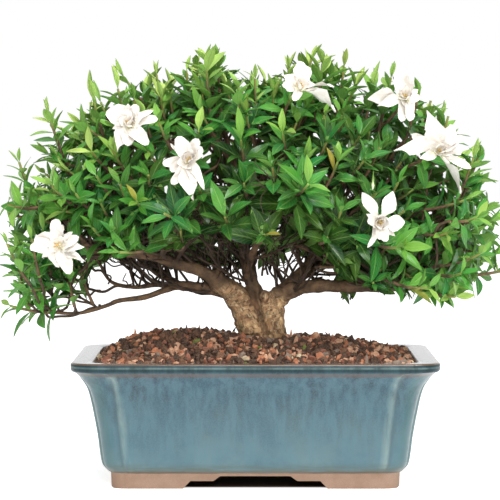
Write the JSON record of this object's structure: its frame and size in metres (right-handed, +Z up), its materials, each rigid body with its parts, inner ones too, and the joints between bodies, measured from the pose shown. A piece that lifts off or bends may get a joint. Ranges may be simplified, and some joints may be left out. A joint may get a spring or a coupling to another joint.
{
  "type": "gardenia bonsai",
  "caption": "Flowering bonsai shrub with a forked trunk and a broad leafy crown, in a rectangular glazed pot on stepped feet.",
  "frame": {"origin": "middle of the footprint of the whole plant's box, on the surface that the pot's feet stand on", "axes": "+X along the pot's length, -Y towards the front of the plant, +Z up"},
  "size_m": [0.4538, 0.2988, 0.3945],
  "materials": {
    "blue_glaze": "gloss",
    "granules": "matte",
    "screen_plastic": "matte",
    "bark": "matte",
    "leaf_dark": "satin",
    "leaf_mid": "satin",
    "leaf_young": "satin",
    "petal_white": "satin"
  },
  "bodies": {
    "root": {"bloom_1": "petal_white", "bloom_2": "petal_white", "bloom_3": "petal_white", "bloom_4": "petal_white", "bloom_5": "petal_white", "bloom_6": "petal_white", "bloom_7": "petal_white", "bloom_8": "petal_white", "bloom_9": "petal_white", "drain_screen_left": "screen_plastic", "drain_screen_right": "screen_plastic", "pot": "blue_glaze", "soil": "granules", "spray_01": "leaf_mid", "spray_02": "leaf_mid", "spray_03": "leaf_young", "spray_04": "leaf_young", "spray_05": "leaf_mid", "spray_06": "leaf_dark", "spray_07": "leaf_dark", "spray_08": "leaf_mid", "spray_09": "leaf_mid", "spray_10": "leaf_dark", "spray_11": "leaf_dark", "spray_12": "leaf_dark", "spray_13": "leaf_dark", "spray_14": "leaf_dark", "spray_15": "leaf_dark", "spray_16": "leaf_dark", "spray_17": "leaf_dark", "spray_18": "leaf_young", "spray_19": "leaf_young", "spray_20": "leaf_young", "spray_21": "leaf_young", "spray_22": "leaf_young", "spray_23": "leaf_young", "spray_24": "leaf_young", "spray_25": "leaf_young", "spray_26": "leaf_mid", "spray_27": "leaf_mid", "spray_28": "leaf_mid", "spray_29": "leaf_mid", "spray_30": "leaf_mid", "spray_31": "leaf_mid", "spray_32": "leaf_mid", "spray_33": "leaf_mid", "spray_34": "leaf_mid", "spray_35": "leaf_mid", "spray_36": "leaf_mid", "spray_37": "leaf_mid", "spray_38": "leaf_dark", "spray_39": "leaf_dark", "spray_40": "leaf_dark", "spray_41": "leaf_dark", "spray_42": "leaf_dark", "spray_43": "leaf_dark", "spray_44": "leaf_dark", "spray_45": "leaf_dark", "trunk_and_limbs": "bark"}
  },
  "joints": []
}
